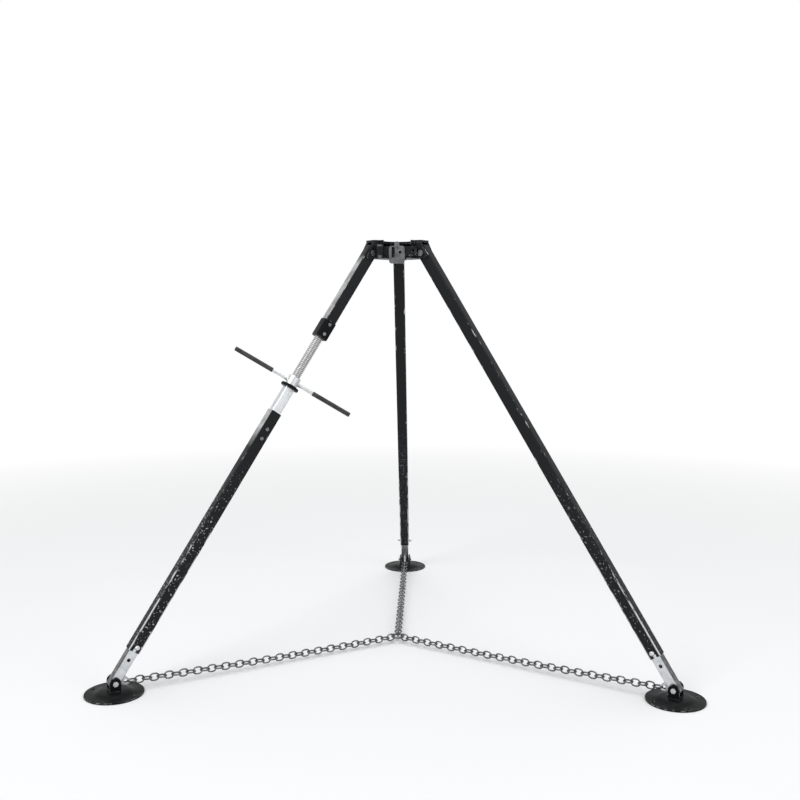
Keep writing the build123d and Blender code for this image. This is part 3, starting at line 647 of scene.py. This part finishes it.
class STAND_OT_jack(bpy.types.Operator):
    """Finishes the screw jack's collar, hub, ring, sleeve and handle"""

    bl_idname = "stand.jack"
    bl_label = "Screw jack"

    def execute(self, context):
        dress_nodes(["nut_collar", "thrust_ring"], "washed_black_powder_coat")
        plated = ["handle_hub", "handle_bar", "screw_retainer", "jack_sleeve"]
        dress_nodes(plated, "bright_zinc_plate")
        dress_nodes(["collar_screws", "sleeve_bolts"], "weathered_zinc_plate")
        dress_nodes(["handle_caps"], "dipped_black_vinyl")
        return {"FINISHED"}


class STAND_OT_screw(bpy.types.Operator):
    """Cuts the trapezoidal thread of the jack screw"""

    bl_idname = "stand.screw"
    bl_label = "Jack screw thread"

    def execute(self, context):
        sizes = context.scene.stand_sizes
        points, faces, depth = thread_surface(sizes)
        piece = make_piece("jack_screw_thread", moved(points, leg_frame("left")), faces)
        attribute = piece.data.attributes.new("depth", "FLOAT", "POINT")
        attribute.data.foreach_set("value", depth.astype(np.float32))
        dress(piece, "oiled_bare_steel")
        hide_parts("jack_screw")
        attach(piece, "screw")
        return {"FINISHED"}


def thread_surface(sizes):
    """A threaded rod about Z, from screw_start to screw_end down from the origin. Point (i, j)
    lies at height z_i and angle a_j. Its radius follows t = z_i / pitch - a_j / 2 pi, a distance
    along the thread: a trapezoid wave of t, full depth over one side of the turn, faded to
    nothing at both ends. The end discs close it."""
    pitch = sizes.thread_pitch
    half_root = 0.13
    flank = 0.24
    fade = 0.6
    steps = int((sizes.screw_end - sizes.screw_start) / pitch * 10)
    sides = 28
    z = -np.linspace(sizes.screw_start, sizes.screw_end, steps + 1)
    angle = np.linspace(0, 2 * math.pi, sides, endpoint=False)
    turn = (z[:, None] / pitch - angle[None, :] / (2 * math.pi)) % 1.0
    wave = np.clip((np.abs(turn - 0.5) - half_root) / flank, 0.0, 1.0)
    ends = np.minimum(z.max() - z, z - z.min()) / pitch
    near = np.minimum(ends[:, None] / fade, 1.0)
    wave = 1.0 - (1.0 - wave) * near
    radius = sizes.screw_diameter / 2 - sizes.thread_depth * wave
    x = radius * np.cos(angle)
    y = radius * np.sin(angle)
    points = np.stack([x, y, np.broadcast_to(z[:, None], x.shape)], axis=-1).reshape(-1, 3)
    faces = grid_faces(len(z), sides, False, True)[:, ::-1].tolist()
    faces.append(list(range(sides)))
    last = len(points) - sides
    faces.append(list(range(last + sides - 1, last - 1, -1)))
    return points, faces, wave.ravel()


class STAND_OT_chains(bpy.types.Operator):
    """Hangs the three chains between the feet and the middle ring"""

    bl_idname = "stand.chains"
    bl_label = "Chains and ring"

    def execute(self, context):
        sizes = context.scene.stand_sizes
        for side in SIDES:
            points, faces, eye = chain_surface(sizes, side)
            piece = make_piece(side + "_chain_links", points, faces)
            hang_chain(piece, side, side + "_chain", eye)
        points, faces = ring_surface(sizes)
        piece = make_piece("middle_ring", points, faces)
        hang_chain(piece, "back", "chain_ring", chain_surface(sizes, "back")[2])
        return {"FINISHED"}


def hang_chain(piece, side, node, eye):
    """Dresses a piece of chain, hides its CAD node and hangs it on that leg's foot section."""
    dress(piece, "weathered_zinc_plate")
    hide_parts(node)
    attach(piece, side + "_foot_section")
    outwards = plan_frame(side)[:3, 0]
    tuple(eye)
    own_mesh(piece)


def link_surface(sizes, inner_length):
    """One link, lying in XY with its length along X. Its wire's middle is a stadium: two half
    circles joined by straights. A round section is carried round it."""
    wire = sizes.chain_wire / 2
    bend = sizes.link_width / 2 - wire
    straight = inner_length / 2 + wire - bend
    half = np.linspace(-math.pi / 2, math.pi / 2, 7)
    x = np.concatenate([straight + bend * np.cos(half), -straight - bend * np.cos(half)])
    y = np.concatenate([bend * np.sin(half), -bend * np.sin(half)])
    path = np.stack([x, y, np.zeros_like(x)], axis=-1)
    ups = np.tile((0.0, 0.0, 1.0), (len(path), 1))
    return carried(path, ups, np.full(len(path), wire), 6, True)


def chain_surface(sizes, side):
    """The links of one chain and the eye that it hangs from. Link i stands on the parabola
    z = ring + rise s - 4 sag s (1 - s), with s its share of the span, leans along the curve,
    and every second link is turned a quarter about its length."""
    out, height = foot_place(side)
    down = leg_frame(side)[:3, :3] @ np.array([0, 0, -1.0])
    run = float(np.hypot(down[0], down[1]))
    fall = -float(down[2])
    out = out - sizes.eye_rise * run - sizes.eye_reach * fall
    height = height + sizes.eye_rise * fall - sizes.eye_reach * run
    rise = height - sizes.ring_height
    span = math.hypot(out, rise)
    eye_play = sizes.eye_hole / 2 - sizes.chain_slack
    ring_play = sizes.ring_radius - sizes.ring_wire / 2 - sizes.chain_slack
    room = span - eye_play - ring_play - sizes.chain_slack
    count = 2 * round(room / (2 * sizes.link_pitch))
    pitch = room / count
    link, faces = link_surface(sizes, pitch + sizes.chain_slack)
    along = ring_play + (pitch + sizes.chain_slack) / 2 + pitch * np.arange(count)
    share = along / span
    sag = 4 * sizes.chain_sag * share * (1 - share)
    slope = rise / span - 4 * sizes.chain_sag * (1 - 2 * share) / span
    lean = np.arctan(slope)
    middle = np.stack([out * share, np.zeros(count), sizes.ring_height + rise * share - sag], -1)
    turned = np.stack([link[:, 0], -link[:, 2], link[:, 1]], axis=-1)
    both = np.where((np.arange(count) % 2 == 0)[:, None, None], turned, link)
    x = both[..., 0] * np.cos(lean)[:, None] - both[..., 2] * np.sin(lean)[:, None]
    z = both[..., 0] * np.sin(lean)[:, None] + both[..., 2] * np.cos(lean)[:, None]
    points = np.stack([x, both[..., 1], z], axis=-1) + middle[:, None, :]
    turn = plan_frame(side)
    points = moved(points.reshape(-1, 3), turn)
    shift = len(link) * np.arange(count)[:, None, None]
    eye = moved([[out, 0.0, height]], turn)[0]
    return points, (faces + shift).reshape(-1, 4), eye


def ring_surface(sizes):
    """The middle ring: a round section carried round a circle in the ground's plane."""
    steps = 40
    angle = np.linspace(0, 2 * math.pi, steps, endpoint=False)
    circle = np.stack([np.cos(angle), np.sin(angle), np.zeros(steps)], axis=-1)
    path = circle * sizes.ring_radius + tripod_axis() + (0, 0, sizes.ring_height)
    ups = np.tile((0.0, 0.0, 1.0), (steps, 1))
    return carried(path, ups, np.full(steps, sizes.ring_wire / 2), 12, True)


class STAND_OT_welds(bpy.types.Operator):
    """Runs the weld beads of the head's lugs, the pads' brackets and the chain eyes"""

    bl_idname = "stand.welds"
    bl_label = "Weld beads"

    def execute(self, context):
        sizes = context.scene.stand_sizes
        paint = "satin_black_powder_coat"
        for side in SIDES:
            upright = plan_frame(side)
            lay_beads(sizes, side + "_lug_welds", lug_runs(sizes, side), upright, "head", paint)
            runs = bracket_runs(sizes, side)
            lay_beads(sizes, side + "_bracket_welds", runs, upright, side + "_pad", paint)
            runs = eye_runs(sizes, side)
            body = side + "_foot_section"
            turn = leg_frame(side)
            lay_beads(sizes, side + "_eye_welds", runs, turn, body, "bright_zinc_plate")
        return {"FINISHED"}


def both_sides(start, end, face):
    """The two ends of a weld's run, as (x, z), on each face of a piece that stands on Y = 0."""
    return [[[start[0], s * face, start[1]], [end[0], s * face, end[1]]] for s in (-1, 1)]


def lug_runs(sizes, side):
    """The welds between the lugs' outer faces and the head's wall, in the leg's upright plane."""
    low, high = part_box(side + "_leg_lugs")
    start = (sizes.lug_root, low[2] + sizes.weld_inset)
    end = (sizes.lug_root, high[2] - sizes.weld_inset)
    return both_sides(start, end, sizes.lug_face)


def bracket_runs(sizes, side):
    """The welds between a bracket's foot and its pad, in the leg's upright plane."""
    out = foot_place(side)[0]
    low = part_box(side + "_foot_clevis")[0][2]
    start = (out - sizes.bracket_weld, low)
    return both_sides(start, (out + sizes.bracket_weld, low), sizes.bracket_face)


def eye_runs(sizes, side):
    """The welds between a chain eye and the foot section, in the leg's own frame."""
    place = np.array(JOINTS[side + "_pad_swivel"]["pos_m"]) - JOINTS[side + "_leg_fold"]["pos_m"]
    middle = sizes.eye_rise - float(np.linalg.norm(place))
    start = (-sizes.eye_root, middle - sizes.eye_weld)
    return both_sides(start, (-sizes.eye_root, middle + sizes.eye_weld), sizes.eye_face)


def lay_beads(sizes, name, runs, turn, body, material):
    """Weld beads along straight runs, carried to the stand by the matrix turn: a round section
    whose radius swells by a tenth at each ripple, and closes in a quarter round at both ends.
    The section's up is Z, or near X where the run itself is steep."""
    sides = 10
    points = []
    faces = []
    count = 0
    for run in runs:
        start, end = moved(run, turn)
        length = np.linalg.norm(end - start)
        steps = max(int(length / sizes.bead_ripple * 4), 8)
        share = np.linspace(0.0, 1.0, steps + 1)
        along = share * length
        ripple = 1 + 0.1 * np.cos(2 * math.pi * along / sizes.bead_ripple)
        edge = np.clip(np.minimum(along, length - along) / sizes.bead_radius, 0.02, 1.0)
        radius = sizes.bead_radius * ripple * np.sqrt(1 - (1 - edge) ** 2)
        path = start + (end - start) * share[:, None]
        steep = abs(end[2] - start[2]) >= length * 0.7
        ups = np.tile((1.0, 0.2, 0.0) if steep else (0.0, 0.0, 1.0), (steps + 1, 1))
        bead, quads = carried(path, ups, radius, sides, False)
        last = count + len(bead) - sides
        points.append(bead)
        faces += (quads + count).tolist()
        faces.append(list(range(count + sides - 1, count - 1, -1)))
        faces.append(list(range(last, last + sides)))
        count += len(bead)
    piece = make_piece(name, np.vstack(points), faces)
    dress(piece, material)
    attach(piece, body)


class STAND_OT_stage(bpy.types.Operator):
    """Lays the pale floor, hangs the soft lights and places the camera"""

    bl_idname = "stand.stage"
    bl_label = "Floor, lights and camera"

    def execute(self, context):
        lay_floor(context)
        hang_lights(context)
        light_room(context.scene)
        place_camera(context)
        return {"FINISHED"}


def lay_floor(context):
    """A flat disc, 60 m across, under the feet."""
    profile = [(0, -0.01), (30, -0.01), (30, 0.0), (0, 0.0)]
    points, faces = revolve(profile, 64)
    floor = make_piece("studio_floor", points, faces, smooth=False)
    floor.data.materials.append(pale_floor(context.scene.stand_colours, tripod_axis()))


def hang_lights(context):
    """Three large soft lights: a key from the upper left front, a fill and a top light."""
    target = Vector((0, -0.2, 0.55))
    lights = {
        "key": ((-2.6, -3.4, 3.4), 2.6, 95.0),
        "fill": ((3.2, -2.6, 2.2), 2.4, 42.0),
        "top": ((0.2, 0.8, 4.2), 3.2, 70.0),
    }
    for name, (place, width, power) in lights.items():
        lamp = bpy.data.lights.new(name, "AREA")
        lamp.shape = "DISK"
        lamp.size = width
        lamp.energy = power
        holder = bpy.data.objects.new(name, lamp)
        holder.location = place
        holder.rotation_euler = (target - Vector(place)).to_track_quat("-Z", "Y").to_euler()
        context.scene.collection.objects.link(holder)


def light_room(scene):
    """A soft grey surround that lights the stand, and shows white to the camera and in gloss."""
    world = bpy.data.worlds.new("room")
    world.use_nodes = True
    tree = world.node_tree
    tree.nodes.clear()
    soft = add_node(tree, "ShaderNodeBackground", {"Color": (1, 1, 1, 1), "Strength": 0.62})
    white = add_node(tree, "ShaderNodeBackground", {"Color": (1, 1, 1, 1), "Strength": 1.0})
    both = add_node(tree, "ShaderNodeMixShader", (seen_directly(tree), soft, white))
    add_node(tree, "ShaderNodeOutputWorld", {"Surface": both})
    scene.world = world
    scene.view_settings.view_transform = "Standard"


def place_camera(context):
    """Stands the camera at the picture's own angle."""
    place = context.scene.stand_stage
    lens = bpy.data.cameras.new("camera")
    lens.sensor_width = 36
    lens.lens = place.focus / MM
    lens.clip_end = 200
    camera = bpy.data.objects.new("camera", lens)
    axis = tripod_axis()
    side = place.distance * math.sin(place.turn)
    near = place.distance * math.cos(place.turn)
    camera.location = (axis[0] + side, axis[1] - near, place.height)
    camera.rotation_euler = (math.pi / 2 - place.pitch, 0, place.turn + place.pan)
    context.scene.collection.objects.link(camera)
    context.scene.camera = camera


class STAND_PT_panel(bpy.types.Panel):
    """Shows the stand's sizes, colours and camera, and its operators, in the 3D view's sidebar"""

    bl_idname = "STAND_PT_panel"
    bl_label = "Stabilizer jack"
    bl_space_type = "VIEW_3D"
    bl_region_type = "UI"
    bl_category = "Jack"

    def draw(self, context):
        for group in ("stand_sizes", "stand_colours", "stand_stage"):
            box = self.layout.box()
            values = getattr(context.scene, group)
            for name in values.bl_rna.properties.keys():
                if name not in ("rna_type", "name"):
                    box.prop(values, name)
        for operator in OPERATORS:
            self.layout.operator(operator.bl_idname)


OPERATORS = (
    STAND_OT_head, STAND_OT_legs, STAND_OT_feet, STAND_OT_jack, STAND_OT_screw,
    STAND_OT_chains, STAND_OT_welds, STAND_OT_stage,
)
CLASSES = (StandSizes, StandColours, StagePlace, *OPERATORS, STAND_PT_panel)


def register():
    """Adds the classes, and hangs the stand's values on the scene."""
    for item in CLASSES:
        bpy.utils.register_class(item)
    bpy.types.Scene.stand_sizes = bpy.props.PointerProperty(type=StandSizes)
    bpy.types.Scene.stand_colours = bpy.props.PointerProperty(type=StandColours)
    bpy.types.Scene.stand_stage = bpy.props.PointerProperty(type=StagePlace)


def unregister():
    """Takes away what register added."""
    del bpy.types.Scene.stand_stage
    del bpy.types.Scene.stand_colours
    del bpy.types.Scene.stand_sizes
    for item in reversed(CLASSES):
        bpy.utils.unregister_class(item)


def main():
    """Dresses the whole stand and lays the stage."""
    register()
    bpy.ops.stand.head()
    bpy.ops.stand.legs()
    bpy.ops.stand.feet()
    bpy.ops.stand.jack()
    bpy.ops.stand.screw()
    bpy.ops.stand.chains()
    bpy.ops.stand.welds()
    bpy.ops.stand.stage()


if __name__ == "__main__":
    main()
